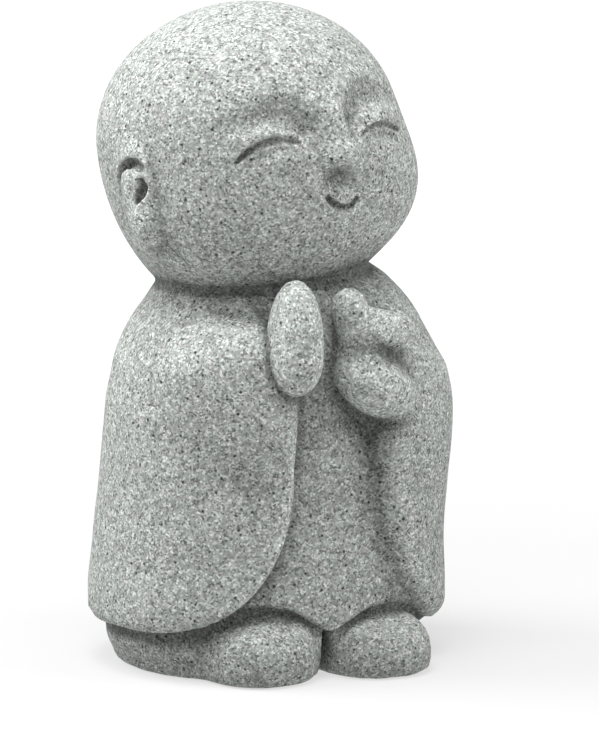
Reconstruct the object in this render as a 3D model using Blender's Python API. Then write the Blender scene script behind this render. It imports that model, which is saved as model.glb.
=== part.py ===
"""Small stone monk, cast in one piece, standing with both hands raised before the chest.

Metres, +Z up. The origin lies on the ground under the middle of the figure's overall width and
depth, the face looks to -Y, and the figure's own right hand is at -X.
"""
import math

import bmesh
import bpy
from mathutils import Matrix, Vector

# Driving size: the height of the figure. Every other length is given in parts of it.
HEIGHT = 0.150
PARTS_IN_HEIGHT = 150.0
PART = HEIGHT / PARTS_IN_HEIGHT

# Stone, as it shows in daylight
STONE_COLOUR = (0.36, 0.375, 0.35, 1.0)
STONE_ROUGHNESS = 0.92

# Head: an egg lying on the shoulders, leaning to the figure's right, turned a little to its left
HEAD_CENTRE = (-2.2, 0.6, 115.2)
HEAD_HALF_WIDTH = 36.3
HEAD_HALF_DEPTH = 35.3
HEAD_UPPER = PARTS_IN_HEIGHT - HEAD_CENTRE[2]
HEAD_LOWER = 36.3
HEAD_TURN = 3.5
HEAD_LEAN = -6.5
CHEEK_CENTRE = (13.0, -10.5, -11.0)
CHEEK_RADII = (18.6, 18.1, 17.1)
NOSE_CENTRE = (0.0, -34.6, 1.6)
NOSE_RADII = (3.7, 3.2, 3.0)
BRIDGE_TOP = (0.0, -31.6, 10.0)
BRIDGE_RADII = (2.4, 1.6)

# Carved lines of the face, seen from the front, as (sideways, up) from the head's centre
BROW_LINE = ((23.5, 11.0), (19.0, 14.8), (13.2, 16.5), (7.8, 15.6), (4.6, 12.2), (3.8, 8.5))
BROW_RADII = (3.3, 4.2, 4.6, 4.6, 4.2, 3.3)
BROW_DEPTH = -3.2
EYE_LINE = ((7.4, 5.8), (11.2, 7.2), (14.8, 6.6), (18.5, 5.0), (21.4, 2.6))
EYE_RADII = (0.5, 0.8, 0.9, 0.8, 0.4)
MOUTH_LINE = ((-4.6, -4.6), (-2.8, -7.2), (0.0, -8.3), (2.8, -7.2), (4.6, -4.6))
MOUTH_RADII = (0.6, 0.8, 0.8, 0.8, 0.6)

# Ears, from the head's centre, the left one; the right one is its mirror image
EAR_CENTRE = (34.6, -4.4, -1.9)
EAR_TURN = 8.0
EAR_LEAN = -6.0
EAR_SHELL = ((0.0, 0.0, 1.2), (3.6, 6.9, 10.6))
EAR_LOBE = ((0.2, -1.8, -7.6), (3.8, 4.5, 5.4))
EAR_HOLLOW = ((4.2, 3.2, 0.0), (4.0, 2.2, 3.6), (3.6, -0.6, 5.8), (3.0, -4.6, 5.0))
EAR_HOLLOW_RADII = (1.4, 1.8, 1.9, 1.5)
EAR_POCKET = ((3.2, -5.0, 1.6), (3.4, -4.2, -3.0))
EAR_POCKET_RADII = (1.8, 1.5)

# Robe over the shoulders and arms, as (height, half width, half depth, sideways shift)
MANTLE = (
    (3.0, 38.0, 33.0, -0.5),
    (8.0, 40.5, 34.5, -0.5),
    (12.0, 42.0, 35.2, -0.5),
    (17.0, 42.6, 35.4, -0.5),
    (28.0, 42.0, 35.0, 0.2),
    (40.0, 41.3, 34.4, 1.0),
    (50.0, 40.9, 33.6, 1.8),
    (58.0, 40.7, 33.0, 2.6),
    (65.0, 39.6, 32.0, 2.6),
    (71.0, 37.6, 30.8, 2.2),
    (77.0, 34.6, 29.2, 1.6),
    (82.0, 31.4, 27.2, 1.4),
    (87.0, 27.0, 24.0, 0.4),
    (92.0, 20.0, 18.0, 0.0),
    (97.0, 10.0, 9.0, 0.0),
)
# Robe in front, between the sleeves
GOWN = (
    (2.0, 36.2, 31.7, 0.0),
    (10.0, 37.0, 32.6, 0.0),
    (18.0, 37.5, 32.4, 0.0),
    (28.0, 37.0, 31.4, 0.0),
    (40.0, 36.5, 30.2, 0.0),
    (50.0, 36.0, 29.6, 0.0),
    (58.0, 35.5, 29.2, 0.0),
    (65.0, 35.0, 28.6, 0.0),
    (71.0, 34.0, 27.6, 0.0),
    (77.0, 32.0, 26.2, 0.0),
    (82.0, 30.0, 24.6, 0.0),
    (87.0, 26.0, 22.0, 0.0),
    (92.0, 19.0, 17.0, 0.0),
    (96.0, 10.0, 9.0, 0.0),
)
ROBE_SET_BACK = -0.5
ROBE_SQUARENESS = 2.17

# Outline of each hanging sleeve, seen from the front: an egg, narrow end up
SLEEVE_MIDDLE = 42.0
SLEEVE_REACH_RIGHT = 31.7
SLEEVE_REACH_LEFT = 27.5
SLEEVE_WIDEST_AT = 47.0
SLEEVE_ABOVE = 60.0
SLEEVE_BELOW = 38.5
BACK_HEM = SLEEVE_WIDEST_AT - SLEEVE_BELOW

# Hem of the gown over the feet, as (sideways, height)
GOWN_HEM = (
    (-48.0, 9.0), (-36.0, 10.0), (-28.0, 13.5), (-22.0, 16.4), (-17.0, 17.2), (-10.0, 16.0),
    (-5.0, 13.0), (-0.9, 10.9), (4.0, 12.7), (9.0, 14.7), (14.0, 15.0), (20.0, 14.2),
    (26.0, 12.0), (31.0, 9.6), (48.0, 9.0),
)

# Foot of the figure, under the robe, and the two toes of the shoes
BASE = (
    (-6.0, 31.5, 28.0, 0.0),
    (2.0, 33.6, 29.6, 0.0),
    (6.0, 35.6, 30.6, 0.0),
    (16.0, 36.2, 30.6, 0.0),
)
SHOE_RIGHT = ((-14.4, -16.0, 5.0), (13.6, 20.2, 11.6))
SHOE_LEFT = ((14.2, -17.5, 4.2), (14.0, 20.8, 11.0))
SHOE_SQUARENESS = 2.5
CLEFT = ((-0.8, -34.0, 0.0), (1.5, 13.0, 15.0))

# Forearms in their sleeves, elbow to wrist, with the radius at each end
FOREARM_RIGHT = ((-28.0, -9.0, 63.0), 10.5, (-15.0, -26.0, 70.0), 10.0)
FOREARM_LEFT = ((31.0, -7.0, 58.0), 10.2, (18.0, -26.0, 68.0), 8.8)
ARM_FILLET = 3.5

# Hands: the right one flat, its fingers up, the left one with two fingers bent over the thumb
PALM_RIGHT = ((-9.6, -33.0, 77.5), (5.4, 8.0, 13.4))
PALM_RIGHT_LEAN = -3.0
FINGER_UP = ((3.4, -31.0, 67.0), 4.4, (2.9, -33.5, 83.0), 4.1)
FINGERS_BENT = ((7.0, -32.0, 79.0), 4.5, (16.0, -31.5, 77.2), 4.1)
THUMB = ((11.6, -32.0, 66.0), (8.1, 6.2, 6.4))
THUMB_LEAN = 8.0

# Fineness of the casting
GRAIN = 0.85
SMOOTHING = 7
FACES = 8800


def keep(name, mesh):
    """Puts a mesh into the scene and returns its object."""
    thing = bpy.data.objects.new(name, mesh)
    bpy.context.scene.collection.objects.link(thing)
    return thing


def finish(name, shape):
    """Turns a bmesh into a kept object, with its faces outward."""
    bmesh.ops.recalc_face_normals(shape, faces=shape.faces)
    mesh = bpy.data.meshes.new(name)
    shape.to_mesh(mesh)
    shape.free()
    return keep(name, mesh)


def swell(value, power):
    """Sine or cosine drawn out towards a squarer round, for a power above 2."""
    return math.copysign(abs(value) ** (2.0 / power), value)


def ball(name, centre, radii, place=Matrix(), low=None, power=2.0, around=40, up=24):
    """A round form. Its lower half may have a height of its own."""
    shape = bmesh.new()
    bmesh.ops.create_uvsphere(shape, u_segments=around, v_segments=up, radius=1.0)
    for vert in shape.verts:
        x, y, z = vert.co
        if power != 2.0:
            ring = math.hypot(x, y)
            angle = math.atan2(y, x)
            ring = swell(ring, power)
            x = ring * swell(math.cos(angle), power)
            y = ring * swell(math.sin(angle), power)
            z = swell(z, power)
        depth = radii[2] if low is None or z > 0 else low
        vert.co = Vector((x * radii[0], y * radii[1], z * depth))
    bmesh.ops.transform(shape, matrix=place @ Matrix.Translation(centre), verts=shape.verts)
    bmesh.ops.scale(shape, vec=(PART, PART, PART), verts=shape.verts)
    return finish(name, shape)


def limb(name, start, start_radius, end, end_radius, place=Matrix()):
    """A tapered bar with round ends: the tight skin over two balls."""
    shape = bmesh.new()
    for centre, radius in ((start, start_radius), (end, end_radius)):
        where = place @ Matrix.Translation(centre)
        bmesh.ops.create_uvsphere(shape, u_segments=28, v_segments=16, radius=radius, matrix=where)
    skin = bmesh.ops.convex_hull(shape, input=shape.verts)
    inner = [item for item in skin["geom_interior"] if isinstance(item, bmesh.types.BMVert)]
    bmesh.ops.delete(shape, geom=inner, context="VERTS")
    bmesh.ops.scale(shape, vec=(PART, PART, PART), verts=shape.verts)
    return finish(name, shape)


def tower(name, levels, back, power, around=96):
    """A robe-like form: one squared oval for each height, joined by walls."""
    shape = bmesh.new()
    rings = []
    for height, half_width, half_depth, aside in levels:
        ring = []
        for step in range(around):
            angle = math.tau * step / around
            x = aside + half_width * swell(math.cos(angle), power)
            y = back + half_depth * swell(math.sin(angle), power)
            ring.append(shape.verts.new((x * PART, y * PART, height * PART)))
        rings.append(ring)
    for below, above in zip(rings[:-1], rings[1:]):
        for step in range(around):
            after = (step + 1) % around
            shape.faces.new((below[step], below[after], above[after], above[step]))
    shape.faces.new(rings[0])
    shape.faces.new(rings[-1])
    return finish(name, shape)


def slab(name, outline, front, back):
    """A flat outline, given as (sideways, height), drawn out from front to back."""
    shape = bmesh.new()
    corners = [shape.verts.new((x * PART, front * PART, z * PART)) for x, z in outline]
    face = shape.faces.new(corners)
    drawn = bmesh.ops.extrude_face_region(shape, geom=[face])
    moved = [item for item in drawn["geom"] if isinstance(item, bmesh.types.BMVert)]
    bmesh.ops.translate(shape, vec=(0, (back - front) * PART, 0), verts=moved)
    return finish(name, shape)


def bar(name, points, radii):
    """A round cutter along a smooth run of points, already in metres."""
    curve = bpy.data.curves.new(name, "CURVE")
    curve.dimensions = "3D"
    curve.bevel_depth = PART
    curve.bevel_resolution = 3
    curve.resolution_u = 5
    curve.use_fill_caps = True
    run = curve.splines.new("NURBS")
    run.points.add(len(points) - 1)
    for knot, point, radius in zip(run.points, points, radii):
        knot.co = (*point, 1.0)
        knot.radius = radius
    run.order_u = 3
    run.use_endpoint_u = True
    drawn = keep(name, curve)
    mesh = bpy.data.meshes.new_from_object(drawn.evaluated_get(bpy.context.evaluated_depsgraph_get()))
    bpy.data.objects.remove(drawn)
    shape = bmesh.new()
    shape.from_mesh(mesh)
    bpy.data.meshes.remove(mesh)
    bmesh.ops.remove_doubles(shape, verts=shape.verts, dist=0.01 * PART)
    return finish(name, shape)


def settle(thing):
    """Works the modifiers of a thing into its mesh."""
    graph = bpy.context.evaluated_depsgraph_get()
    mesh = bpy.data.meshes.new_from_object(thing.evaluated_get(graph))
    thing.modifiers.clear()
    worn = thing.data
    thing.data = mesh
    bpy.data.meshes.remove(worn)


def cut(thing, tool, way):
    """Boolean of a thing with a tool, which is used up."""
    tool.hide_render = True
    tool.display_type = "WIRE"
    change = thing.modifiers.new("Cut", "BOOLEAN")
    change.operation = way
    change.solver = "EXACT"
    change.object = tool
    settle(thing)
    bpy.data.objects.remove(tool)


def gather(name, things):
    """Joins loose forms into one object."""
    shape = bmesh.new()
    for thing in things:
        shape.from_mesh(thing.data)
        bpy.data.objects.remove(thing)
    mesh = bpy.data.meshes.new(name)
    shape.to_mesh(mesh)
    shape.free()
    return keep(name, mesh)


def cast(thing, grain):
    """Fuses overlapping forms into one skin of even faces."""
    change = thing.modifiers.new("Cast", "REMESH")
    change.mode = "VOXEL"
    change.voxel_size = grain * PART
    settle(thing)


def swollen(thing, reach):
    """Moves the whole skin of a thing outward, or inward for a reach below nought."""
    change = thing.modifiers.new("Swell", "DISPLACE")
    change.mid_level = 0.0
    change.strength = reach * PART
    settle(thing)


def melt(name, things, fillet):
    """Fuses forms and fills the creases between them to a round of the given radius."""
    fused = gather(name, things)
    cast(fused, GRAIN)
    swollen(fused, fillet)
    cast(fused, GRAIN)
    swollen(fused, -fillet)
    return fused


def sleeve_outline(side, reach):
    """The egg of one sleeve and everything outside it, side -1 right, 1 left."""
    outline = [(side * 60.0, BACK_HEM), (side * SLEEVE_MIDDLE, BACK_HEM)]
    for step in range(1, 17):
        angle = math.pi / 2 * step / 16
        outline.append((side * (SLEEVE_MIDDLE - reach * math.sin(angle)), SLEEVE_WIDEST_AT - SLEEVE_BELOW * math.cos(angle)))
    for step in range(1, 17):
        angle = math.pi / 2 * step / 16
        outline.append((side * (SLEEVE_MIDDLE - reach * math.cos(angle)), SLEEVE_WIDEST_AT + SLEEVE_ABOVE * math.sin(angle)))
    outline.append((side * 60.0, SLEEVE_WIDEST_AT + SLEEVE_ABOVE))
    return outline


def robe():
    """Two hanging sleeves, the back that joins them, and the gown between them."""
    pieces = []
    for side, reach in ((-1, SLEEVE_REACH_RIGHT), (1, SLEEVE_REACH_LEFT)):
        sleeve = tower("sleeve", MANTLE, ROBE_SET_BACK, ROBE_SQUARENESS)
        cut(sleeve, slab("sleeve outline", sleeve_outline(side, reach), -60.0, -2.0), "INTERSECT")
        pieces.append(sleeve)
    back = tower("robe back", MANTLE, ROBE_SET_BACK, ROBE_SQUARENESS)
    square = [(-60.0, BACK_HEM), (60.0, BACK_HEM), (60.0, 110.0), (-60.0, 110.0)]
    cut(back, slab("back outline", square, -3.0, 60.0), "INTERSECT")
    pieces.append(back)
    gown = tower("gown", GOWN, ROBE_SET_BACK, ROBE_SQUARENESS)
    outline = [*GOWN_HEM, (48.0, 110.0), (-48.0, 110.0)]
    cut(gown, slab("gown outline", outline, -60.0, 60.0), "INTERSECT")
    pieces.append(gown)
    return pieces


def clothed_arms():
    """Forearms in their sleeves, grown out of the robe."""
    arms = [limb("right forearm", *FOREARM_RIGHT), limb("left forearm", *FOREARM_LEFT)]
    return melt("robe", [*robe(), *arms], ARM_FILLET)


def feet():
    """The foot of the figure and the round toes of the shoes, parted by a cleft."""
    base = tower("base", BASE, 0.0, 2.2)
    right = ball("right shoe", *SHOE_RIGHT, power=SHOE_SQUARENESS)
    left = ball("left shoe", *SHOE_LEFT, power=SHOE_SQUARENESS)
    return [base, right, left]


def hands():
    """The flat right hand and the bent left one."""
    palm_place = Matrix.Translation(PALM_RIGHT[0]) @ Matrix.Rotation(math.radians(PALM_RIGHT_LEAN), 4, "Y")
    thumb_place = Matrix.Translation(THUMB[0]) @ Matrix.Rotation(math.radians(THUMB_LEAN), 4, "Y")
    return [
        ball("right palm", (0, 0, 0), PALM_RIGHT[1], place=palm_place),
        limb("raised finger", *FINGER_UP),
        limb("bent fingers", *FINGERS_BENT),
        ball("thumb", (0, 0, 0), THUMB[1], place=thumb_place),
    ]


HEAD_PLACE = (
    Matrix.Translation(HEAD_CENTRE)
    @ Matrix.Rotation(math.radians(HEAD_TURN), 4, "Z")
    @ Matrix.Rotation(math.radians(HEAD_LEAN), 4, "Y")
)


def ear_place(side):
    """Where an ear sits: side -1 is the figure's right, 1 its left."""
    where = Matrix.Translation((side * EAR_CENTRE[0], EAR_CENTRE[1], EAR_CENTRE[2]))
    lean = Matrix.Rotation(math.radians(EAR_LEAN), 4, "X")
    return HEAD_PLACE @ where @ lean @ Matrix.Rotation(math.radians(side * EAR_TURN), 4, "Z")


def head():
    """Skull, cheeks, nose and the full shells of the ears."""
    skull_radii = (HEAD_HALF_WIDTH, HEAD_HALF_DEPTH, HEAD_UPPER)
    pieces = [ball("skull", (0, 0, 0), skull_radii, place=HEAD_PLACE, low=HEAD_LOWER, around=72, up=44)]
    pieces.append(ball("nose", NOSE_CENTRE, NOSE_RADII, place=HEAD_PLACE))
    pieces.append(limb("bridge", NOSE_CENTRE, BRIDGE_RADII[0], BRIDGE_TOP, BRIDGE_RADII[1], place=HEAD_PLACE))
    for side in (-1, 1):
        cheek = (side * CHEEK_CENTRE[0], CHEEK_CENTRE[1], CHEEK_CENTRE[2])
        pieces.append(ball("cheek", cheek, CHEEK_RADII, place=HEAD_PLACE, around=56, up=32))
        for centre, radii in (EAR_SHELL, EAR_LOBE):
            middle = (side * centre[0], centre[1], centre[2])
            pieces.append(ball("ear", middle, radii, place=ear_place(side)))
    return pieces


def on_face(figure, aside, height, depth):
    """The point of the face that the front view shows there, set in by a depth."""
    start = HEAD_PLACE @ Vector((aside, -60.0, height)) * PART
    inward = (HEAD_PLACE.to_3x3() @ Vector((0, 1, 0))).normalized()
    found, point, _, _ = figure.ray_cast(start, inward)
    if not found:
        raise ValueError("the face has no surface there")
    return point + inward * depth * PART


def carve_line(figure, line, radii, depth, side=1):
    """Draws a round tool along a line of the face, its middle set in by the depth."""
    points = [on_face(figure, side * aside, height, depth) for aside, height in line]
    cut(figure, bar("line", points, radii), "DIFFERENCE")


def carve_ear(figure, side):
    """The curved hollow inside the rim and the pocket before the inner fold."""
    for run, radii in ((EAR_HOLLOW, EAR_HOLLOW_RADII), (EAR_POCKET, EAR_POCKET_RADII)):
        points = [ear_place(side) @ Vector((side * x, y, z)) * PART for x, y, z in run]
        cut(figure, bar("ear tool", points, radii), "DIFFERENCE")


def stone():
    """Pale grey-green stone, matt all over."""
    paint = bpy.data.materials.new("stone")
    paint.use_nodes = True
    surface = paint.node_tree.nodes["Principled BSDF"]
    surface.inputs["Base Color"].default_value = STONE_COLOUR
    surface.inputs["Roughness"].default_value = STONE_ROUGHNESS
    return paint


for leftover in list(bpy.data.objects):
    bpy.data.objects.remove(leftover)

# Form: everything that stands out of the block
monk = gather("monk_statue", [clothed_arms(), *feet(), *hands(), *head()])
cast(monk, GRAIN)

# Hollows that are worked before the surface is smoothed
cut(monk, ball("cleft", *CLEFT), "DIFFERENCE")
for brow_side in (-1, 1):
    carve_line(monk, BROW_LINE, BROW_RADII, BROW_DEPTH, brow_side)
    carve_ear(monk, brow_side)

# Surface: the edges run soft, then the faces are thinned
cast(monk, GRAIN)
soften = monk.modifiers.new("Soften", "SMOOTH")
soften.factor = 0.5
soften.iterations = SMOOTHING
settle(monk)
monk.data.calc_loop_triangles()
thin = monk.modifiers.new("Thin", "DECIMATE")
thin.ratio = FACES / len(monk.data.loop_triangles)
settle(monk)

# Fine lines of the closed eyes and the smile
for eye_side in (-1, 1):
    carve_line(monk, EYE_LINE, EYE_RADII, 0.0, eye_side)
carve_line(monk, MOUTH_LINE, MOUTH_RADII, 0.0)

# Flat underside that the figure stands on
ground = [(-80.0, -40.0), (80.0, -40.0), (80.0, 0.0), (-80.0, 0.0)]
cut(monk, slab("ground", ground, -80.0, 80.0), "DIFFERENCE")

# The middle of the overall width and depth comes over the origin
width = [vert.co.x for vert in monk.data.vertices]
depth = [vert.co.y for vert in monk.data.vertices]
aside = Vector((-(min(width) + max(width)) / 2, -(min(depth) + max(depth)) / 2, 0.0))
monk.data.transform(Matrix.Translation(aside))

monk.data.materials.clear()
monk.data.materials.append(stone())
for face in monk.data.polygons:
    face.material_index = 0
    face.use_smooth = True
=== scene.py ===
import math

import bpy
import numpy as np
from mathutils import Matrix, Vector


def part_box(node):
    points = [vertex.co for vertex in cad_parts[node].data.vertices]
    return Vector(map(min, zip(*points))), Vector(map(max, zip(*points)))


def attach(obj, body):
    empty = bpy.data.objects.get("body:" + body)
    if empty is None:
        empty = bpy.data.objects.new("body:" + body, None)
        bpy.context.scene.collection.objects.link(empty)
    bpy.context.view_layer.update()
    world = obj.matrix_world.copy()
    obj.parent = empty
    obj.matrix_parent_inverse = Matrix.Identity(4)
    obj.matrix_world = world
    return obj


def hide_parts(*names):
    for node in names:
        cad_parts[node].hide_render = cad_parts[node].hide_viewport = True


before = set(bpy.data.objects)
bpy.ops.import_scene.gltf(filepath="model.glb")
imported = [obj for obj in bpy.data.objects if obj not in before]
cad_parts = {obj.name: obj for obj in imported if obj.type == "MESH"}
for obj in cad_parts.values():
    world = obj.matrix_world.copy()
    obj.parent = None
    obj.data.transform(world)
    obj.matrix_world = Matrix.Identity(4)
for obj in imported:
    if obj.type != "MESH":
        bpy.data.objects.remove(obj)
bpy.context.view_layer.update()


# The figure is one block of stone, cast in a mould: a round head on a wide robe with hanging
# sleeves, the right hand flat and the left one bent, on the round toes of two shoes. Rounded
# forms melt together here, hollows are pressed in, and one skin is drawn over them all.
lowest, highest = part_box("monk_statue")
PARTS_HIGH = 150.0
PART = (highest.z - lowest.z) / PARTS_HIGH


def turned(turn=0.0, pitch=0.0, lean=0.0):
    """Axes of a form that leans about Y, then pitches about X, then turns about Z, one a row."""
    a, b, c = np.radians((turn, pitch, lean))
    about_z = np.array(((np.cos(a), -np.sin(a), 0), (np.sin(a), np.cos(a), 0), (0, 0, 1)))
    about_x = np.array(((1, 0, 0), (0, np.cos(b), -np.sin(b)), (0, np.sin(b), np.cos(b))))
    about_y = np.array(((np.cos(c), 0, np.sin(c)), (0, 1, 0), (-np.sin(c), 0, np.cos(c))))
    return (about_z @ about_x @ about_y).T


def ball(p, centre, radii, axes=None, low=None):
    """Gap to an ellipsoid: k (k - 1) over the length of its slope, k being 1 on the surface.
    The lower half may have an upright radius of its own."""
    q = p - np.asarray(centre, float)
    if axes is not None:
        q = q @ axes.T
    r = np.broadcast_to(np.asarray(radii, float), q.shape)
    if low is not None:
        r = r.copy()
        r[..., 2] = np.where(q[..., 2] < 0, low, r[..., 2])
    k = np.sqrt(((q / r) ** 2).sum(-1))
    slope = np.sqrt(((q / r**2) ** 2).sum(-1))
    return k * (k - 1) / np.maximum(slope, 1e-9)


def loaf(p, centre, radii, power):
    """Gap to a squared ellipsoid: the sum of |x/a|, |y/b|, |z/c| to a power is 1 on the surface."""
    r = np.asarray(radii, float)
    q = np.abs(p - np.asarray(centre, float)) / r
    k = np.maximum((q**power).sum(-1), 1e-12) ** (1 / power)
    slope = (q ** (power - 1) / r) / k[..., None] ** (power - 1)
    return (k - 1) / np.sqrt((slope**2).sum(-1) + 1e-12)


def bar(p, points, radii):
    """Gap to a bar along straight runs between points, its radius changing evenly on each."""
    gap = np.full(p.shape[:-1], 1e9)
    points = np.asarray(points, float)
    radii = np.broadcast_to(radii, len(points))
    for a, b, at_a, at_b in zip(points[:-1], points[1:], radii[:-1], radii[1:]):
        run = b - a
        along = np.clip(((p - a) @ run) / (run @ run), 0, 1)
        off = p - a - along[..., None] * run
        gap = np.minimum(gap, np.sqrt((off**2).sum(-1)) - at_a - along * (at_b - at_a))
    return gap


def melt(a, b, fillet):
    """Two forms as one: the lesser gap, less (fillet - |a - b|)^2 over four fillets."""
    return np.minimum(a, b) - np.maximum(fillet - np.abs(a - b), 0) ** 2 / (4 * fillet)


def shared(a, b, rounding):
    """What two forms have in common, its edge rounded: melt with both gaps turned about."""
    return -melt(-a, -b, rounding)


def pressed(a, b, rounding):
    """Form a with form b pressed into it, the edge rounded."""
    return -melt(-a, b, rounding)


def between(at, knots, values):
    """Smooth value between named ones: cubic pieces whose slopes never overshoot."""
    knots, values = np.asarray(knots, float), np.asarray(values, float)
    rise = np.diff(values) / np.diff(knots)
    slope = np.zeros(len(knots))
    both = rise[:-1] * rise[1:]
    total = np.where(rise[:-1] + rise[1:] == 0, 1, rise[:-1] + rise[1:])
    slope[1:-1] = np.where(both > 0, 2 * both / total, 0)
    slope[0], slope[-1] = rise[0], rise[-1]
    i = np.clip(np.searchsorted(knots, at) - 1, 0, len(knots) - 2)
    width = knots[i + 1] - knots[i]
    t = np.clip((at - knots[i]) / width, 0, 1)
    start = (2 * t**3 - 3 * t**2 + 1) * values[i] + (t**3 - 2 * t**2 + t) * width * slope[i]
    end = (3 * t**2 - 2 * t**3) * values[i + 1] + (t**3 - t**2) * width * slope[i + 1]
    return start + end


def through(points, steps):
    """Smooth run through named points: Catmull-Rom cubics, a few steps to each span."""
    p = np.asarray(points, float)
    p = np.concatenate((2 * p[:1] - p[1:2], p, 2 * p[-1:] - p[-2:-1]))
    t = np.linspace(0, 1, steps, endpoint=False)[None, :, None]
    a, b, c, d = p[:-3, None], p[1:-2, None], p[2:-1, None], p[3:, None]
    run = 2 * b + (c - a) * t + (2 * a - 5 * b + 4 * c - d) * t**2 + (3 * b - a - 3 * c + d) * t**3
    return np.concatenate((run.reshape(-1, p.shape[1]) / 2, p[-2:-1]))


CORE = 3.0
STEP_UP = 0.5


def tower(p, table, back, power, top):
    """Gap to a squared oval whose half width a, half depth b and shift follow the height: k - 1
    over the length of its slope, k being the root of (x/a)^power + (y/b)^power. Close to the
    axis x and y stay above the core, so that the slope never fails."""
    heights, wide, deep, aside = np.asarray(table, float).T
    z = p[..., 2]
    x = np.sqrt((p[..., 0] - between(z, heights, aside)) ** 2 + CORE**2)
    y = np.sqrt((p[..., 1] - back) ** 2 + CORE**2)

    def k_at(height):
        a, b = between(height, heights, wide), between(height, heights, deep)
        return ((x / a) ** power + (y / b) ** power + 1e-12) ** (1 / power), a, b

    k, a, b = k_at(z)
    rise = (k_at(z + STEP_UP)[0] - k) / STEP_UP
    slope_x = (x / a) ** (power - 1) / a / k ** (power - 1)
    slope_y = (y / b) ** (power - 1) / b / k ** (power - 1)
    gap = (k - 1) / np.sqrt(slope_x**2 + slope_y**2 + rise**2 + 1e-12)
    return shared(gap, z - top, rounding=1.0)


def inside(p, low, high):
    """Which points lie in a box."""
    return np.all((p > np.asarray(low)) & (p < np.asarray(high)), axis=-1)


# Head, an egg with two full cheeks that leans to the figure's right, in its own axes
HEAD_CENTRE = np.array((-2.2, 0.6, 115.2))
HEAD_AXES = turned(turn=3.5, lean=-6.5)
SKULL_CENTRE = (-1.9, 0.0, 5.0)
SKULL_RADII = (34.4, 34.25, 29.9)
SKULL_LOWER = 43.0
CHEEK_ASIDE, CHEEK_BACK, CHEEK_UP = 14.7, -10.5, -7.6
CHEEK_RADII = (17.5, 17.0, 16.0)


def skull(q):
    """Egg of the head and the two full cheeks."""
    gap = ball(q, SKULL_CENTRE, SKULL_RADII, low=SKULL_LOWER)
    for side in (-1, 1):
        cheek = ball(q, (side * CHEEK_ASIDE, CHEEK_BACK, CHEEK_UP), CHEEK_RADII)
        gap = melt(gap, cheek, fillet=8.0)
    return gap


AHEAD_OF_FACE, INSIDE_HEAD, HALVINGS = -50.0, -8.0, 22


def on_front(form, line):
    """Points of a form's front that the front view shows on a line, found by halving."""
    line = np.asarray(line, float)
    near, far = np.full(len(line), AHEAD_OF_FACE), np.full(len(line), INSIDE_HEAD)
    for _ in range(HALVINGS):
        middle = (near + far) / 2
        within = form(np.stack((line[:, 0], middle, line[:, 1]), -1)) < 0
        near, far = np.where(within, near, middle), np.where(within, middle, far)
    return np.stack((line[:, 0], far, line[:, 1]), -1)


# Brows, as (sideways, up) from the temple to the nose, with the tool's radius and its depth
BROW = ((22.5, 11.5), (18.5, 13.2), (13.5, 13.8), (9.2, 12.6), (6.9, 10.0), (6.0, 7.0))
BROW_RADII = (2.0, 3.4, 4.4, 4.4, 3.6, 1.8)
BROW_DEPTHS = (0.1, 1.2, 2.0, 2.4, 2.2, 0.7)
BROW_STEPS = 6
BROW_TOOLS = []
for side in (-1, 1):
    run = through(np.array(BROW) * (side, 1), BROW_STEPS)
    along = np.linspace(0, 1, len(run))
    radii = np.interp(along, np.linspace(0, 1, len(BROW)), BROW_RADII)
    depths = np.interp(along, np.linspace(0, 1, len(BROW)), BROW_DEPTHS)
    run = on_front(skull, run)
    outward_from_middle = run / np.linalg.norm(run, axis=1, keepdims=True)
    BROW_TOOLS.append((run + outward_from_middle * (radii - depths)[:, None], radii))

# Nose: its bridge as points and radii, its tip and the dent under it as centre and radii
NOSE_BRIDGE = ((1.0, -33.2, 3.6), (0.4, -32.4, 12)), (2.2, 1.3)
NOSE_TIP = (1.2, -33.6, 2.2), (4.6, 3.3, 3.0)
UNDER_NOSE = (1.2, -36.8, -2.9), (7.2, 4.9, 3.3)


def soft_face(q):
    """Brows pressed in softly, the small nose and the dent under it."""
    gap = skull(q)
    for run, radii in BROW_TOOLS:
        gap = pressed(gap, bar(q, run, radii), rounding=2.6)
    gap = melt(gap, bar(q, *NOSE_BRIDGE), fillet=3.2)
    gap = melt(gap, ball(q, *NOSE_TIP), fillet=2.0)
    return pressed(gap, ball(q, *UNDER_NOSE), rounding=1.6)


# Eyes and mouth, lines as (sideways, up); the left eye's arch is flatter and its line finer
LINE_STEPS = 3
EYE = ((8.6, 6.3), (10.4, 7.1), (12.6, 7.5), (15.0, 7.4), (17.9, 6.6), (20.2, 5.2), (22.0, 3.7))
EYE_CORNER = (0, 3.7)
EYE_ARCH = {-1: 1.0, 1: 0.72}
EYE_RADIUS = {-1: 1.0, 1: 0.84}
EYE_SUNK = (0, 0.5, 0.2)
EYE_TAPER = 0.1
LID_AWAY = (0, -1.6, -1.6)
LID_RADIUS = 2.3
MOUTH = (
    (-3.7, -4.9), (-2.4, -6.8), (-1.0, -8.2), (0.7, -9.3),
    (2.4, -9.8), (4.1, -9.5), (5.2, -8.5), (6.0, -7.2),
)
MOUTH_RADIUS = 0.85
MOUTH_SUNK = (0, 0.5, 0)
MOUTH_TAPER = 0.16


def tapered(run, cut):
    """Share of a line's radius along it: the root of a sine's arch, cut off near both ends."""
    return np.sin(np.linspace(cut, 1 - cut, len(run)) * np.pi) ** 0.5


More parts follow.
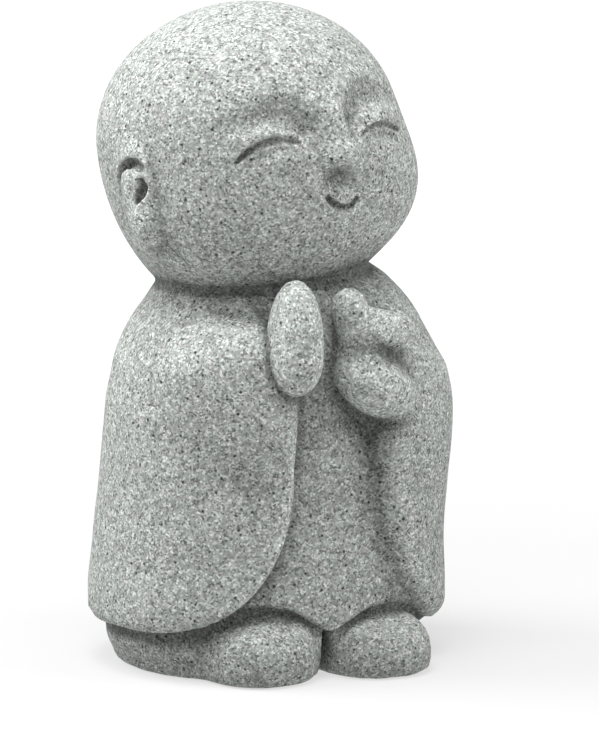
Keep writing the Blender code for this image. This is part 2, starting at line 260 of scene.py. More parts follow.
EYE_TOOLS = []
for side in (-1, 1):
    line = (np.array(EYE) - EYE_CORNER) * (side, EYE_ARCH[side]) + EYE_CORNER
    run = on_front(soft_face, through(line, LINE_STEPS))
    taper = tapered(run, EYE_TAPER)
    EYE_TOOLS.append((run + EYE_SUNK, EYE_RADIUS[side] * taper, run + LID_AWAY, LID_RADIUS * taper))
MOUTH_RUN = on_front(soft_face, through(MOUTH, LINE_STEPS)) + MOUTH_SUNK
MOUTH_RADII = MOUTH_RADIUS * tapered(MOUTH_RUN, MOUTH_TAPER)

# An ear in its own axes, outward, backward and up: shell and lobe as centre and radii, the
# hollow inside the rim, the pocket and the fold as points and radii
EAR_OUT, EAR_BACK, EAR_UP = 32.1, -4.4, -1.9
EAR_TURN, EAR_PITCH = 8, -6
EAR_SHELL = (0, -0.6, 1.2), (3.5, 8.0, 10.4)
EAR_LOBE = (0.2, -3.4, -7.2), (3.4, 5.0, 5.2)
RIM_RUN = (
    (3.2, 3.0, -0.6), (2.8, 2.4, 2.6), (2.5, 0.4, 5.0),
    (2.2, -2.4, 6.0), (1.8, -5.2, 6.0), (1.4, -7.2, 4.8),
)
RIM_RADII = (0.9, 1.15, 1.3, 1.3, 1.25, 1.0)
POCKET_RUN = ((1.6, -6.7, 1.6), (1.5, -6.8, 0.6), (1.7, -6.1, -0.6), (2.2, -4.9, -2.2))
POCKET_RADII = (1.1, 1.4, 1.4, 1.0)
FOLD = ((2.0, -2.6, 2.4), (2.4, -0.8, -2.6)), (1.5, 1.6)


def ear(q, gap, side):
    """Shell and lobe, the hollow inside the rim, the pocket and the fold behind it."""
    axes = turned(turn=side * EAR_TURN) @ turned(pitch=EAR_PITCH)
    e = (q - (SKULL_CENTRE[0] + side * EAR_OUT, EAR_BACK, EAR_UP)) @ axes.T
    e = e * (side, 1, 1)
    gap = melt(gap, ball(e, *EAR_SHELL), fillet=1.8)
    gap = melt(gap, ball(e, *EAR_LOBE), fillet=3.2)
    gap = pressed(gap, bar(e, RIM_RUN, RIM_RADII), rounding=0.4)
    gap = pressed(gap, bar(e, POCKET_RUN, POCKET_RADII), rounding=0.9)
    return melt(gap, bar(e, *FOLD), fillet=1.0)


# Boxes that hold the face and, mirrored, an ear, as their two far corners
FACE_BOX = (-34, -60, -14), (34, -14, 26)
EAR_BOX = (22, -22, -24), (60, 14, 20)


def head(p):
    """The whole head: skull and cheeks, then the face and the ears where the points are near."""
    q = (p - HEAD_CENTRE) @ HEAD_AXES.T
    gap = skull(q)
    face = inside(q, *FACE_BOX)
    if face.any():
        near = q[face]
        front = soft_face(near)
        for run, radii, lid, lid_radii in EYE_TOOLS:
            front = pressed(front, bar(near, lid, lid_radii), rounding=0.8)
            front = pressed(front, bar(near, run, radii), rounding=0.4)
        gap[face] = pressed(front, bar(near, MOUTH_RUN, MOUTH_RADII), rounding=0.4)
    for side in (-1, 1):
        around = inside(q * (side, 1, 1), *EAR_BOX)
        if around.any():
            gap[around] = ear(q[around], gap[around], side)
    return gap


# Robe: mantle and gown as (height, half width, half depth, sideways shift), the sleeves'
# outline by its middle and reach, and the hem over the toes as (sideways, height)
MANTLE = (
    (3, 38.9, 33.4, -0.3), (8, 40.9, 34.7, -0.3), (12, 41.8, 35.2, -0.4), (17, 41.8, 35.1, -0.5),
    (28, 41.1, 34.7, 0.0), (40, 41.1, 34.3, 1.4), (50, 41.3, 33.8, 2.5), (58, 41.1, 33.1, 3.0),
    (65, 39.9, 32.1, 3.0), (71, 37.5, 30.7, 2.0), (77, 33.8, 28.8, 1.6), (82, 29.7, 26.4, 1.9),
    (87, 25.2, 23.2, 1.5), (92, 18.4, 17.3, 1.5), (98, 6.6, 6.3, 1.8),
)
GOWN = (
    (0, 36.0, 31.5, 0), (10, 37.0, 32.4, 0), (18, 37.5, 31.8, 0), (28, 37.0, 30.4, 0),
    (40, 36.5, 29.0, 0), (50, 36.0, 28.4, 0), (58, 35.5, 28.0, 0), (65, 35.0, 28.0, 0.4),
    (71, 34.4, 28.5, 0.9), (77, 32.6, 28.0, 1.4), (82, 29.6, 26.2, 1.5), (87, 25.4, 23.1, 0.9),
    (92, 18.6, 17.2, 0.6), (98, 7.0, 6.5, 0.6),
)
SLEEVE_MIDDLE = 42.0
SLEEVE_REACH = {-1: 31.7, 1: 27.5}
SLEEVE_WIDEST_AT = 47.0
SLEEVE_ABOVE = 60.0
SLEEVE_BELOW = 37.5
SLEEVE_SLANT = 1.2
SLANT_HALF_WIDTH = 38
HEM = (
    (-36, 10.0), (-28, 13.5), (-22, 16.4), (-17, 17.2), (-10, 16.0), (-5, 13.0), (-0.9, 10.9),
    (4, 12.7), (9, 14.7), (14, 15.0), (20, 14.2), (26, 12.0), (31, 9.6), (36, 9.0),
)
HEM_BEHIND = 9
HEM_SLOPE = 0.9

# Stretches over which one form eases into another, from and to: sideways, backward or upward
SLEEVE_TURNS_BACK, HEM_TURNS_BACK = (-10, 4), (-8, 4)
ROBE_LEFT, ROBE_BEHIND, SHOULDERS = (-8, 8), (-14, 0), (62, 76)

# Foot of the figure behind the shoes, in the same terms as the mantle
BASE = ((-6, 33.0, 28.0, -1), (2, 35.2, 29.6, -1), (6, 36.8, 30.6, -1), (16, 37.4, 30.6, -1))
BASE_TOP = 16
ROBE_BACK = -0.5


def ease(at, start, end):
    """0 before the start, 1 after the end, smooth between."""
    t = np.clip((at - start) / (end - start), 0, 1)
    return t * t * (3 - 2 * t)


def sleeve_outline(p, side):
    """Gap to the sleeve's outline in the front view, an egg; behind, only its hem counts."""
    x, y, z = side * p[..., 0], p[..., 1], p[..., 2]
    x = np.minimum(x + (SLEEVE_MIDDLE - x) * ease(y, *SLEEVE_TURNS_BACK), SLEEVE_MIDDLE)
    below = SLEEVE_BELOW + SLEEVE_SLANT * np.clip(p[..., 0] / SLANT_HALF_WIDTH, -1, 1)
    tall = np.where(z > SLEEVE_WIDEST_AT, SLEEVE_ABOVE, below)
    u = (x - SLEEVE_MIDDLE) / SLEEVE_REACH[side]
    v = (z - SLEEVE_WIDEST_AT) / tall
    k = np.sqrt(u**2 + v**2)
    slope = np.sqrt((u / SLEEVE_REACH[side]) ** 2 + (v / tall) ** 2)
    return k * (k - 1) / np.maximum(slope, 1e-9)


# Forearms in the sleeves, round above and fading down into the cloth
ARMS = (
    ((-21.0, -18.2, 69.5), (16.5, 9.8, 10.8), 30.0, turned(turn=-52.6, lean=-16)),
    ((24.5, -16.0, 63.0), (17.0, 9.4, 10.5), 26.0, turned(turn=55.6, lean=20)),
)


def robe(p):
    """Gown with its hem lifted over the toes, and the mantle cut to the sleeves' outlines. The
    fillet between them widens in front on the left, where the sleeve runs out into the gown,
    and towards the shoulders."""
    hem_x, hem_z = np.array(HEM, float).T
    hem = between(np.clip(p[..., 0], hem_x[0], hem_x[-1]), hem_x, hem_z)
    hem = hem + (HEM_BEHIND - hem) * ease(p[..., 1], *HEM_TURNS_BACK)
    gown = tower(p, GOWN, ROBE_BACK, power=2.2, top=96)
    gap = shared(gown, (hem - p[..., 2]) * HEM_SLOPE, rounding=1.2)
    mantle = tower(p, MANTLE, ROBE_BACK, power=2.15, top=97)
    sleeves = np.minimum(sleeve_outline(p, -1), sleeve_outline(p, 1))
    left = ease(p[..., 0], *ROBE_LEFT) * (1 - ease(p[..., 1], *ROBE_BEHIND))
    high = ease(p[..., 2], *SHOULDERS)
    cut = shared(mantle, sleeves, rounding=1.4 + 3.0 * left)
    gap = melt(gap, cut, fillet=1.0 + np.maximum(6.0 * left, 3.0 * high) * (1 - 0.5 * high))
    for centre, radii, low, axes in ARMS:
        gap = melt(gap, ball(p, centre, radii, axes, low), fillet=2.5)
    return gap


# Left hand: its fingers as points inside the bare robe, points when grown and radii, and its
# back, heel and thumb as centre inside the robe, centre when grown, radii, axes and fillet
FINGERS = (
    (((4, -25, 67), (4, -26, 69)), ((7.6, -29.5, 72.0), (3.2, -32.6, 84.0)), (4.0, 4.0)),
    (((7, -25, 69), (14, -25, 69)), ((7.0, -32.0, 79.5), (16.2, -31.5, 77.4)), (4.3, 4.1)),
)
HAND_ROUNDS = (
    ((10, -22, 68), (12.5, -27.2, 71.5), (8.5, 5.5, 7.5), None, 2.0),
    ((5, -22, 68), (6.6, -30.2, 71.5), (4.8, 5.0, 6.5), None, 2.0),
    ((8, -26, 66), (11.0, -31.0, 65.2), (11.0, 6.3, 6.5), turned(turn=10, lean=28), 2.4),
)

# Right hand, a flat palm with a round heel, and the groove pressed into the robe about it
PALM_START, PALM_CENTRE = (-10, -26, 68), (-10.6, -33.0, 76.6)
PALM_START_RADII, PALM_RADII = (5, 5, 6), (5.6, 7.8, 14.1)
PALM_START_LOWER, PALM_LOWER = 6, 11.2
PALM_AXES = turned(turn=4, lean=1.5)
HEEL_CENTRE, HEEL_RADII = (-10.8, -33.0, 71.4), (4.7, 6.8, 5.8)
GROOVE_WIDTH, GROOVE_DEPTH = 0.55, 1.0


def hands(p, gap, grown):
    """The left hand, then the flat right one in its groove, both as far grown as asked: each
    place and size lies that share of the way from its start inside the robe to its end."""

    def part_way(start, end):
        return np.array(start) * (1 - grown) + np.array(end) * grown

    for start, end, radii in FINGERS:
        gap = melt(gap, bar(p, part_way(start, end), radii), fillet=1.6)
    for start, end, radii, axes, fillet in HAND_ROUNDS:
        gap = melt(gap, ball(p, part_way(start, end), radii, axes), fillet)
    radii = part_way(PALM_START_RADII, PALM_RADII)
    lower = part_way(PALM_START_LOWER, PALM_LOWER)
    palm = ball(p, part_way(PALM_START, PALM_CENTRE), radii, PALM_AXES, lower)
    palm = melt(palm, ball(p, part_way(PALM_START, HEEL_CENTRE), HEEL_RADII), fillet=3.0)
    groove = np.maximum(palm - GROOVE_WIDTH * grown, -gap - GROOVE_DEPTH)
    return melt(pressed(gap, groove, rounding=0.6), palm, fillet=0.4)


# Shoes as centre and radii, and the cleft between them
SHOES = (
    ((-14.4, -16.0, 5.0), (13.6, 20.4, 10.8)),
    ((13.0, -19.3, 4.2), (13.6, 20.8, 9.7)),
)
CLEFT = (-0.8, -34.0, 0.0), (1.5, 13.0, 16.0)


def standing(p):
    """The foot of the figure and the two shoes, parted by a cleft."""
    base = tower(p, BASE, 0.0, power=2.2, top=BASE_TOP)
    gap = shared(base, p[..., 2] - BASE_TOP, rounding=3)
    for centre, radii in SHOES:
        gap = melt(gap, loaf(p, centre, radii, power=2.5), fillet=2.0)
    return pressed(gap, ball(p, *CLEFT), rounding=1.0)


# Heights below or above which each part is worked out, and the box that holds the hands
ROBE_BELOW, HEAD_ABOVE, FOOT_BELOW = 101, 70, 26
HANDS_BOX = (-26, -60, 50), (32, -8, 101)
OPEN_AIR = 1e3


def figure(p, grown=1.0):
    """Gap to the whole figure, in parts of its height; below nought is inside the stone."""
    flat = p.reshape(-1, 3)
    gap = np.full(len(flat), OPEN_AIR)
    lower = flat[:, 2] < ROBE_BELOW
    q = flat[lower]
    body = robe(q)
    front = inside(q, *HANDS_BOX)
    if front.any():
        body[front] = hands(q[front], body[front], grown)
    foot = q[:, 2] < FOOT_BELOW
    if foot.any():
        body[foot] = melt(body[foot], standing(q[foot]), fillet=0.5 + 2.3 * (1 - grown))
    gap[lower] = body
    upper = flat[:, 2] > HEAD_ABOVE
    gap[upper] = melt(gap[upper], head(flat[upper]), fillet=1.4)
    return shared(gap, -flat[:, 2], rounding=1.6).reshape(p.shape[:-1])


def feel(form, skin, step=0.05):
    """Gap at each point and its slope, from small steps along the three axes."""
    gap = form(skin)
    return gap, np.stack([(form(skin + ahead) - gap) / step for ahead in np.eye(3) * step], -1)


LONGEST_MOVE = 1.5


def settle(form, skin, times):
    """Moves the points onto the form: gap over squared slope, down the slope."""
    for _ in range(times):
        gap, slope = feel(form, skin)
        move = gap / np.maximum((slope**2).sum(-1), 1e-3)
        skin = skin - np.clip(move, -LONGEST_MOVE, LONGEST_MOVE)[..., None] * slope
    return skin


def outward(skin):
    """Unit normals of a grid of points: row direction across column direction."""
    across = np.roll(skin, -1, 1) - np.roll(skin, 1, 1)
    up = np.gradient(skin, axis=0)
    normal = np.cross(across, up)
    return normal / np.maximum(np.linalg.norm(normal, axis=-1, keepdims=True), 1e-12)


# Where the points gather, as (middle, reach, how much): the hands, the hem over the toes, the
# tip of the palm and the edge on the ground, then in the head's axes eyes, mouth and ears
CROWDED = [
    ((1.0, -33.0, 78.0), (19.0, 14.0, 19.0), 1.8),
    ((0.0, -33.0, 14.5), (30.0, 14.0, 6.0), 1.2),
    ((-10.4, -33.5, 88.0), (6.0, 9.0, 6.0), 2.0),
    ((0.0, 0.0, 0.6), (60.0, 60.0, 2.4), 1.6),
]
for middle, reach, much in (
    ((-15, -29, 6), (9, 9, 4), 0.9), ((15, -29, 6), (9, 9, 4), 0.9),
    ((1.5, -34, -8), (7, 7, 5), 1.2),
    ((-34, -4, -1), (6, 9, 9), 1.9), ((31, -4, -1), (6, 9, 9), 1.9),
):
    CROWDED.append((HEAD_CENTRE + np.array(middle) @ HEAD_AXES, reach, much))


def even_out(form, skin, wide, tall, times):
    """Slides the points along the form until their spacing keeps to the wanted one: each goes
    halfway to the mean of its four neighbours, weighed by crowding over wanted spacing."""
    for _ in range(times):
        normal = outward(skin)
        crowd = 1 + sum(
            much * np.exp(-(((skin - at) / reach) ** 2).sum(-1)) for at, reach, much in CROWDED
        )
        across, along = crowd / wide, crowd / tall
        pull = (np.roll(across, 1, 1), across, np.roll(along, 1, 0), along)
        total = sum(pull)
        around = [np.roll(skin, by, axis) for by, axis in ((1, 1), (-1, 1), (1, 0), (-1, 0))]
        goal = sum(p * w[..., None] for p, w in zip(around, pull)) / total[..., None]
        move = goal - skin
        move[0] = move[-1] = 0
        move -= (move * normal).sum(-1, keepdims=True) * normal
        skin = settle(form, skin + 0.5 * move, 1)
    return skin


FINE_PLACES = 4000


def spread(spacing, count):
    """Places along a line whose spacing follows (place, spacing) pairs: equal shares of the
    running total of one over the spacing."""
    place, wanted = np.array(spacing, float).T
    fine = np.linspace(place[0], place[-1], FINE_PLACES)
    density = 1 / np.interp(fine, place, wanted)
    total = np.concatenate(([0], np.cumsum((density[1:] + density[:-1]) / 2)))
    return np.interp(np.linspace(0, total[-1], count), total, fine)


# Rows run from the middle of the underside to the crown, columns round from the back
ROW_SPACING = (
    (0, 6), (24, 3), (32, 1.2), (36, 0.9), (45, 0.95), (90, 1.0), (120, 0.9), (128, 0.8),
    (140, 0.7), (146, 0.45), (184, 0.45), (192, 0.9), (215, 1.6),
)
COLUMN_SPACING = (
    (-math.pi, 1.3), (-1.9, 1.1), (-1.1, 0.75), (1.1, 0.75), (1.9, 1.1), (math.pi, 1.3),
)


# The first rays, by row: on the underside they fan down from a point in the foot, round the
# robe they leave the body's axis, at the shoulders they fan up from the chest, and then they
# fan from the head's middle
ROWS, COLUMNS = 63, 100
FOOT_ROW, ROBE_ROW, NECK_ROW, CROWN_ROW = 33, 91.9, 128, 215
FOOT_START, LOWEST_START, CHEST_START = 12, 4, 60
START_PER_ROW = 1.0187
LEVEL_ROW, DIP_PER_ROW = 37, 0.065
SHOULDER_FAN = 0.785
HEAD_FAN_FROM, HEAD_FAN = -0.75, 2.321
FARTHEST, NEAREST, STRIDE, CLEAR_OF_FORM = 80, 2, -0.5, 0.25


def first_skin(form, rows, columns):
    """Where rays meet the form from outside, felt for from afar inward in even strides."""
    bearing = columns[:-1]
    starts, rays = [], []
    for row in rows:
        if row <= FOOT_ROW:
            start, rise = (0, 0, FOOT_START), math.atan2(-FOOT_START, max(row, 1e-6))
        elif row <= ROBE_ROW:
            start = (0, 0, max((row - FOOT_ROW) * START_PER_ROW, LOWEST_START))
            rise = min(0, (row - LEVEL_ROW) * DIP_PER_ROW)
        elif row <= NECK_ROW:
            share = (row - ROBE_ROW) / (NECK_ROW - ROBE_ROW)
            start, rise = (0, 0, CHEST_START), share * SHOULDER_FAN
        else:
            share = (row - NECK_ROW) / (CROWN_ROW - NECK_ROW)
            start, rise = tuple(HEAD_CENTRE), HEAD_FAN_FROM + share * HEAD_FAN
        level, upward = np.cos(rise), np.full(len(bearing), np.sin(rise))
        ray = np.stack((level * np.sin(bearing), -level * np.cos(bearing), upward), -1)
        rays.append(ray @ HEAD_AXES if row > NECK_ROW else ray)
        starts.append(np.broadcast_to(start, ray.shape))
    starts, rays = np.array(starts, float), np.array(rays)
    reach = np.full(starts.shape[:2], float(NEAREST))
    open_air = np.ones(reach.shape, bool)
    for far in np.arange(FARTHEST, NEAREST, STRIDE):
        hit = open_air & (form(starts + rays * far) < 0)
        reach[hit] = far
        open_air &= ~hit
    return starts + rays * (reach + CLEAR_OF_FORM)[..., None]


def closed(skin):
    """The first and the last row drawn together to one point each."""
    skin[0], skin[-1] = skin[0].mean(0), skin[-1].mean(0)
    return skin


GROWING_STEPS, TIMES_WHILE_GROWING = 17, 4
TIMES_AT_LEVEL = (70, 20, 5)
LEAST_RADIUS = 2


def drawn_skin(form, rows, columns, finer):
    """A grid of points on the form. It starts coarse on a figure without hands, follows the hands
    as they grow out of the robe, and is then halved and evened out, as often as asked."""
    skin = first_skin(lambda p: form(p, 0.0), rows, columns)
    for level in range(finer + 1):
        if level:
            beside = (skin + np.roll(skin, -1, 1)) / 2
            skin = np.stack((skin, beside), 2).reshape(len(skin), -1, 3)
            above = (skin[:-1] + skin[1:]) / 2
            doubled = np.stack((skin[:-1], above), 1).reshape(-1, *skin.shape[1:])
            skin = np.concatenate((doubled, skin[-1:]))
            rows = np.interp(np.arange(len(skin)) / 2, np.arange(len(rows)), rows)
            halves = np.arange(skin.shape[1] + 1) / 2
            columns = np.interp(halves, np.arange(len(columns)), columns)
            skin = settle(form, skin, 2)
        radius = np.linalg.norm(skin - skin.mean(1, keepdims=True), axis=-1).mean(1)
        wide = np.diff(columns)[None, :] * np.maximum(radius, LEAST_RADIUS)[:, None]
        tall = np.append(np.diff(rows), rows[-1] - rows[-2])[:, None] * np.ones_like(wide)
        if not level:
            for grown in np.linspace(0, 1, GROWING_STEPS):
                skin = even_out(lambda p: form(p, grown), skin, wide, tall, TIMES_WHILE_GROWING)
        skin = even_out(form, skin, wide, tall, TIMES_AT_LEVEL[level])
        skin = closed(skin)
    return closed(settle(form, skin, 2))


def strung(grid):
    """A grid as one run, its first and its last row as a single entry each."""
    return np.concatenate((grid[:1, 0], grid[1:-1].reshape(-1, *grid.shape[2:]), grid[-1:, 0]))


def skin_mesh(name, skin):
    """Mesh of a grid of points: quads between the rows, a fan of triangles at each end."""
    rows, columns = skin.shape[0] - 2, skin.shape[1]
    points = strung(skin)
    here = 1 + np.arange(rows * columns).reshape(rows, columns)
    after = np.roll(here, -1, 1)
    quads = np.stack((here[:-1], after[:-1], after[1:], here[1:]), -1).reshape(-1, 4)
    under = np.stack((np.zeros(columns, int), after[0], here[0]), -1)
    crown = np.stack((here[-1], after[-1], np.full(columns, len(points) - 1)), -1)
    mesh = bpy.data.meshes.new(name)
    mesh.from_pydata(points.tolist(), [], quads.tolist() + under.tolist() + crown.tolist())
    mesh.shade_smooth()
    return mesh


# Scales at which hollows and ridges are looked for: averagings of the finest grid, depth that
# a plain round form shows, depth of a full hollow, and the scale's share
SCALES = ((3, -0.01, 0.14, 0.55), (36, -0.05, 0.9, 0.5), (140, -0.1, 2.4, 0.4))
FINEST = 2


def hollows_and_ridges(skin, fineness):
    """How far each point lies below or above the grid averaged about it, near and far, as 0 to 1:
    the mean of a point and its neighbours is taken again and again, and the way to it is measured
    along the normal, less what a plain round form of this size would show."""
    normal, blurred, hollow, ridge = outward(skin), skin, 0, 0
    for times, plain, full, much in SCALES:
        for _ in range(max(1, round(times * 4 ** (fineness - FINEST)))):
            blurred = (np.roll(blurred, 1, 1) + 2 * blurred + np.roll(blurred, -1, 1)) / 4
            blurred[1:-1] = (blurred[:-2] + 2 * blurred[1:-1] + blurred[2:]) / 4
        depth = ((blurred - skin) * normal).sum(-1)
        hollow = hollow + much * np.clip((depth - plain) / (full - plain), 0, 1)
        ridge = ridge + much * np.clip((2 * plain - depth) / full, 0, 1)
    return np.clip(hollow, 0, 1), np.clip(ridge, 0, 1)


fineness = FINEST
rows, columns = spread(ROW_SPACING, ROWS), spread(COLUMN_SPACING, COLUMNS)
skin = drawn_skin(figure, rows, columns, fineness)
middle = (strung(skin).min(0) + strung(skin).max(0)) / 2
place = np.array(((lowest.x + highest.x) / 2, (lowest.y + highest.y) / 2, lowest.z))
shift = place - np.array((middle[0], middle[1], 0)) * PART
monk = bpy.data.objects.new("monk", skin_mesh("monk", skin * PART + shift))
bpy.context.scene.collection.objects.link(monk)
# Hollow and Ridge feed the stone's painted shade in hollows and painted highlight on ridges
for label, found in zip(("Hollow", "Ridge"), hollows_and_ridges(skin, fineness)):
    values = strung(found).astype(np.float32)
    monk.data.attributes.new(label, "FLOAT", "POINT").data.foreach_set("value", values)


def node(tree, kind, inputs, **settings):
    """Adds a shader node; an input given as another node's output is joined, any other is set."""
    made = tree.nodes.new(kind)
    for name, value in settings.items():
        setattr(made, name, value)
    for name, value in inputs.items():
        if isinstance(value, bpy.types.NodeSocket):
            tree.links.new(value, made.inputs[name])
        else:
            made.inputs[name].default_value = value
    return made


def math_node(tree, operation, first, second):
    """Output of a sum, a product or another operation on two values."""
    return node(tree, "ShaderNodeMath", {0: first, 1: second}, operation=operation).outputs[0]


def shared_effect(name, takes, gives):
    """A node group with named inputs, each with its usual value, and named float outputs."""
    tree = bpy.data.node_groups.new(name, "ShaderNodeTree")
    for label, usual in takes.items():
        kind = "NodeSocketVector" if usual is None else "NodeSocketFloat"
        socket = tree.interface.new_socket(label, in_out="INPUT", socket_type=kind)
        if usual is not None:
            socket.default_value = usual
    for label in gives:
        tree.interface.new_socket(label, in_out="OUTPUT", socket_type="NodeSocketFloat")
    return tree, tree.nodes.new("NodeGroupInput").outputs, tree.nodes.new("NodeGroupOutput").inputs


# Grains of the cast stone, as cells of 0.4 mm, some dark and some pale, each a little greyer or
# greener than the next, with clumps of several grains and a slow mottle laid over them
SPECKS = ((0.1, 0.27), (0.22, 0.4), (0.45, 0.49), (0.72, 0.58), (0.9, 0.8))
DARKEST, PALEST = 0.17, 0.95
CLUMP_OVER_GRAIN = 0.42
grains, taken, given = shared_effect(
    "Grains",
    {"Place": None, "Grain Size": 0.4, "Clumps": 0.4, "Mottle Size": 2.2, "Mottle": 0.55},
    ("Tone", "Hue", "Height"),
)
per_grain = math_node(grains, "DIVIDE", 1.0, taken["Grain Size"])
cells = node(grains, "ShaderNodeTexVoronoi", {"Vector": taken["Place"], "Scale": per_grain})
chance = node(grains, "ShaderNodeSeparateColor", {"Color": cells.outputs["Color"]})
tone = node(grains, "ShaderNodeValToRGB", {"Fac": chance.outputs["Red"]})
for place_on_ramp, shade in SPECKS:
    tone.color_ramp.elements.new(place_on_ramp).color = (shade, shade, shade, 1)
tone.color_ramp.elements[0].color = (DARKEST, DARKEST, DARKEST, 1)
tone.color_ramp.elements[-1].color = (PALEST, PALEST, PALEST, 1)
per_mottle = math_node(grains, "DIVIDE", 1.0, taken["Mottle Size"])
mottle = node(grains, "ShaderNodeTexNoise", {
    "Vector": taken["Place"], "Scale": per_mottle, "Detail": 3.0
})
soft = math_node(grains, "SUBTRACT", mottle.outputs["Fac"], 0.5)
soft = math_node(grains, "MULTIPLY", soft, taken["Mottle"])
per_clump = math_node(grains, "DIVIDE", CLUMP_OVER_GRAIN, taken["Grain Size"])
clump = node(grains, "ShaderNodeTexVoronoi", {"Vector": taken["Place"], "Scale": per_clump})
clump_chance = node(grains, "ShaderNodeSeparateColor", {"Color": clump.outputs["Color"]})
clumped = math_node(grains, "SUBTRACT", clump_chance.outputs["Red"], 0.5)
clumped = math_node(grains, "MULTIPLY", clumped, taken["Clumps"])
slow = math_node(grains, "ADD", math_node(grains, "ADD", soft, clumped), 1.0)
total = math_node(grains, "MULTIPLY", tone.outputs["Color"], 2.0)
total = math_node(grains, "MULTIPLY", total, slow)
grains.links.new(total, given["Tone"])
grains.links.new(chance.outputs["Green"], given["Hue"])
grains.links.new(total, given["Height"])

# Pits that burst bubbles left in the cast: small and round, on seven cells in ten; their mask dents
# the bump and paints shade into the colour
pits, taken, given = shared_effect(
    "Pits", {"Place": None, "Spacing": 2.2, "Radius": 0.44, "Share": 0.7}, ("Mask",)
)
per_pit = math_node(pits, "DIVIDE", 1.0, taken["Spacing"])
spots = node(pits, "ShaderNodeTexVoronoi", {"Vector": taken["Place"], "Scale": per_pit})
chosen = node(pits, "ShaderNodeSeparateColor", {"Color": spots.outputs["Color"]})
reach = math_node(pits, "DIVIDE", taken["Radius"], taken["Spacing"])
half_reach = math_node(pits, "MULTIPLY", reach, 0.5)
near = node(pits, "ShaderNodeMapRange", {
    "Value": spots.outputs["Distance"], "From Min": reach, "From Max": half_reach
})
some = math_node(pits, "LESS_THAN", chosen.outputs["Red"], taken["Share"])
pits.links.new(math_node(pits, "MULTIPLY", near.outputs["Result"], some), given["Mask"])

# The stone itself: grains, with painted shade in the pits, in the hollows and down towards the
# feet, a painted highlight on ridges, between a grey and a faintly green tint
PIT_PAINTED_SHADE, HOLLOW_PAINTED_SHADE, RIDGE_PAINTED_HIGHLIGHT = 0.85, 0.63, 0.2
FOOT_PAINTED_SHADE, FOOT_PAINTED_SHADE_UP_TO = 0.66, 24.0
GREY, FAINT_GREEN = (0.307, 0.304, 0.304, 1), (0.278, 0.311, 0.285, 1)
PIT_DEPTH, BUMP_HEIGHT = 2.0, 0.16
stone = bpy.data.materials.new("stone")
stone.use_nodes = True
tree = stone.node_tree
surface = tree.nodes["Principled BSDF"]
coordinates = tree.nodes.new("ShaderNodeTexCoord")
place_in_parts = node(tree, "ShaderNodeMapping", {
    "Vector": coordinates.outputs["Object"], "Scale": (1 / PART, 1 / PART, 1 / PART)
}).outputs["Vector"]
grain = node(tree, "ShaderNodeGroup", {}, node_tree=grains)
pit = node(tree, "ShaderNodeGroup", {}, node_tree=pits)
for effect in (grain, pit):
    tree.links.new(place_in_parts, effect.inputs["Place"])
height_up = node(tree, "ShaderNodeSeparateXYZ", {"Vector": place_in_parts}).outputs["Z"]
# painted shade: darker towards the ground, for the lesser light that reaches the feet
foot_painted_shade = node(tree, "ShaderNodeMapRange", {
    "Value": height_up, "From Min": 0.0, "From Max": FOOT_PAINTED_SHADE_UP_TO,
    "To Min": FOOT_PAINTED_SHADE, "To Max": 1.0
}).outputs["Result"]
# painted shade: the pits darker in colour, for the shade inside the holes
pit_painted_shade = math_node(tree, "MULTIPLY", pit.outputs["Mask"], PIT_PAINTED_SHADE)
hollow = node(tree, "ShaderNodeAttribute", {}, attribute_name="Hollow").outputs["Fac"]
ridge = node(tree, "ShaderNodeAttribute", {}, attribute_name="Ridge").outputs["Fac"]
# painted shade: darker where the skin lies in a hollow, as shade gathers there
painted_hollow_shade = math_node(tree, "SUBTRACT", 1.0, math_node(tree, "MULTIPLY", hollow, HOLLOW_PAINTED_SHADE))
# painted highlight: paler on ridges, where the light catches the edges
painted_shade_and_highlight = math_node(tree, "ADD", painted_hollow_shade, math_node(tree, "MULTIPLY", ridge, RIDGE_PAINTED_HIGHLIGHT))
shade = grain.outputs["Tone"]
for share in (math_node(tree, "SUBTRACT", 1.0, pit_painted_shade), foot_painted_shade, painted_shade_and_highlight):
    shade = math_node(tree, "MULTIPLY", shade, share)
stone_tint = node(
    tree, "ShaderNodeMix", {"Factor": grain.outputs["Hue"], "A": GREY, "B": FAINT_GREEN},
    data_type="RGBA",
)
tint = node(
    tree, "ShaderNodeVectorMath", {0: stone_tint.outputs["Result"], 1: shade},
    operation="MULTIPLY",
)
tree.links.new(tint.outputs["Vector"], surface.inputs["Base Color"])
pit_deep = math_node(tree, "MULTIPLY", pit.outputs["Mask"], PIT_DEPTH)
relief = math_node(tree, "SUBTRACT", grain.outputs["Height"], pit_deep)
bump = node(tree, "ShaderNodeBump", {
    "Height": relief, "Distance": BUMP_HEIGHT * PART, "Strength": 0.3
})
tree.links.new(bump.outputs["Normal"], surface.inputs["Normal"])
surface.inputs["Roughness"].default_value = 0.92
surface.inputs["Specular IOR Level"].default_value = 0.25
monk.data.materials.append(stone)
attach(monk, "root")
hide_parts("monk_statue")


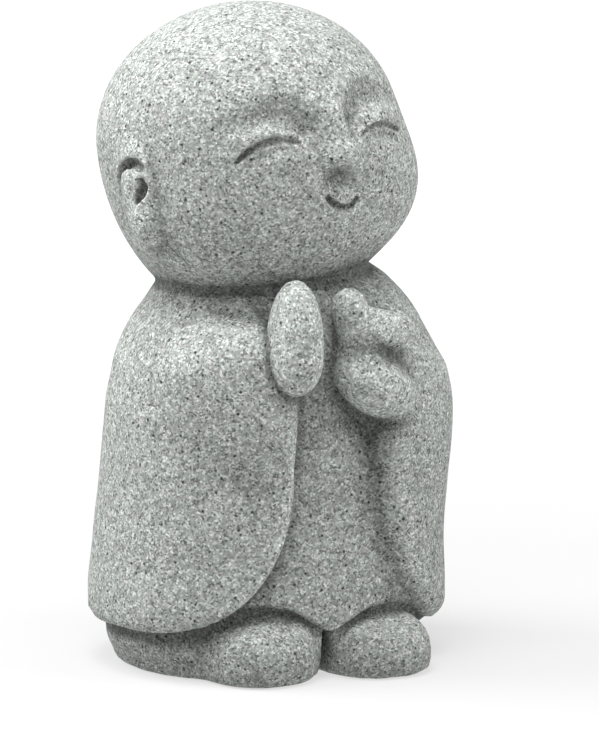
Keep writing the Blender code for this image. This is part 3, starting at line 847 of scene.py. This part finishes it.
# Studio: a floor of pale paper that fades to white away from the figure, four soft lights, the
# strongest behind the figure's right shoulder, and the photograph's viewpoint, to the figure's
# right and a little above the middle of its height.
FLOOR = 9
GLOW_NEAR, GLOW_FAR = 150, 700
ground = bpy.data.meshes.new("floor")
ground.from_pydata(
    [(-FLOOR, -FLOOR, 0), (FLOOR, -FLOOR, 0), (FLOOR, FLOOR, 0), (-FLOOR, FLOOR, 0)],
    [], [(0, 1, 2, 3)],
)
floor = bpy.data.objects.new("floor", ground)
bpy.context.scene.collection.objects.link(floor)
paper = bpy.data.materials.new("paper")
paper.use_nodes = True
sheet_shader = paper.node_tree.nodes["Principled BSDF"].inputs
sheet_shader["Base Color"].default_value = (0.2, 0.2, 0.2, 1)
sheet_shader["Roughness"].default_value = 1.0
sheet_shader["Specular IOR Level"].default_value = 0.0
sheet_shader["Emission Color"].default_value = (1, 1, 1, 1)
spot = node(paper.node_tree, "ShaderNodeTexCoord", {}).outputs["Object"]
away = node(paper.node_tree, "ShaderNodeVectorMath", {0: spot}, operation="LENGTH").outputs["Value"]
glow = node(paper.node_tree, "ShaderNodeMapRange", {
    "Value": away, "From Min": GLOW_NEAR * PART, "From Max": GLOW_FAR * PART,
    "To Min": 0.62, "To Max": 1.0,
})
paper.node_tree.links.new(glow.outputs["Result"], sheet_shader["Emission Strength"])
ground.materials.append(paper)

world = bpy.data.worlds.new("studio")
world.use_nodes = True
world.node_tree.nodes["Background"].inputs["Color"].default_value = (1, 1, 1, 1)
world.node_tree.nodes["Background"].inputs["Strength"].default_value = 0.2
bpy.context.scene.world = world


def softbox(name, place, size, power):
    """A square soft light, placed and sized in parts, aimed at the figure's middle."""
    light = bpy.data.lights.new(name, "AREA")
    light.size = size * PART
    light.energy = power
    lamp = bpy.data.objects.new(name, light)
    bpy.context.scene.collection.objects.link(lamp)
    lamp.location = Vector(place) * PART
    lamp.rotation_mode = "QUATERNION"
    aim = Vector((0, 0, PARTS_HIGH / 2)) * PART - lamp.location
    lamp.rotation_quaternion = aim.to_track_quat("-Z", "Y")


softbox("top light", (0, 0, 900), 450, 3.0)
softbox("key light", (-250, -200, 800), 450, 5.4)
softbox("right light", (600, -500, 450), 450, 4.2)
softbox("left light", (-500, 300, 600), 450, 6.4)

VIEW_TURN = math.radians(-28)
VIEW_RISE = math.radians(8)
VIEW_DISTANCE = 900.0
PIXELS_PER_PART = 4.38
FRAME_WIDE, FRAME_HIGH = 599, 737
LOOKED_AT_X, LOOKED_AT_Y = 267.0, 329.0
SENSOR = 36
lens = bpy.data.cameras.new("camera")
camera = bpy.data.objects.new("camera", lens)
bpy.context.scene.collection.objects.link(camera)
level = math.cos(VIEW_RISE)
toward_camera = Vector((
    math.sin(VIEW_TURN) * level, -math.cos(VIEW_TURN) * level, math.sin(VIEW_RISE)
))
figure_middle = Vector((shift[0], shift[1], PARTS_HIGH / 2 * PART))
camera.location = figure_middle + toward_camera * VIEW_DISTANCE * PART
camera.rotation_mode = "QUATERNION"
camera.rotation_quaternion = (-toward_camera).to_track_quat("-Z", "Y")
lens.sensor_width = SENSOR
lens.lens = PIXELS_PER_PART * VIEW_DISTANCE * SENSOR / FRAME_HIGH
lens.shift_x = (FRAME_WIDE / 2 - LOOKED_AT_X) / FRAME_HIGH
lens.shift_y = (LOOKED_AT_Y - FRAME_HIGH / 2) / FRAME_HIGH
lens.clip_start = 0.01
bpy.context.scene.camera = camera
bpy.context.scene.view_settings.view_transform = "Standard"
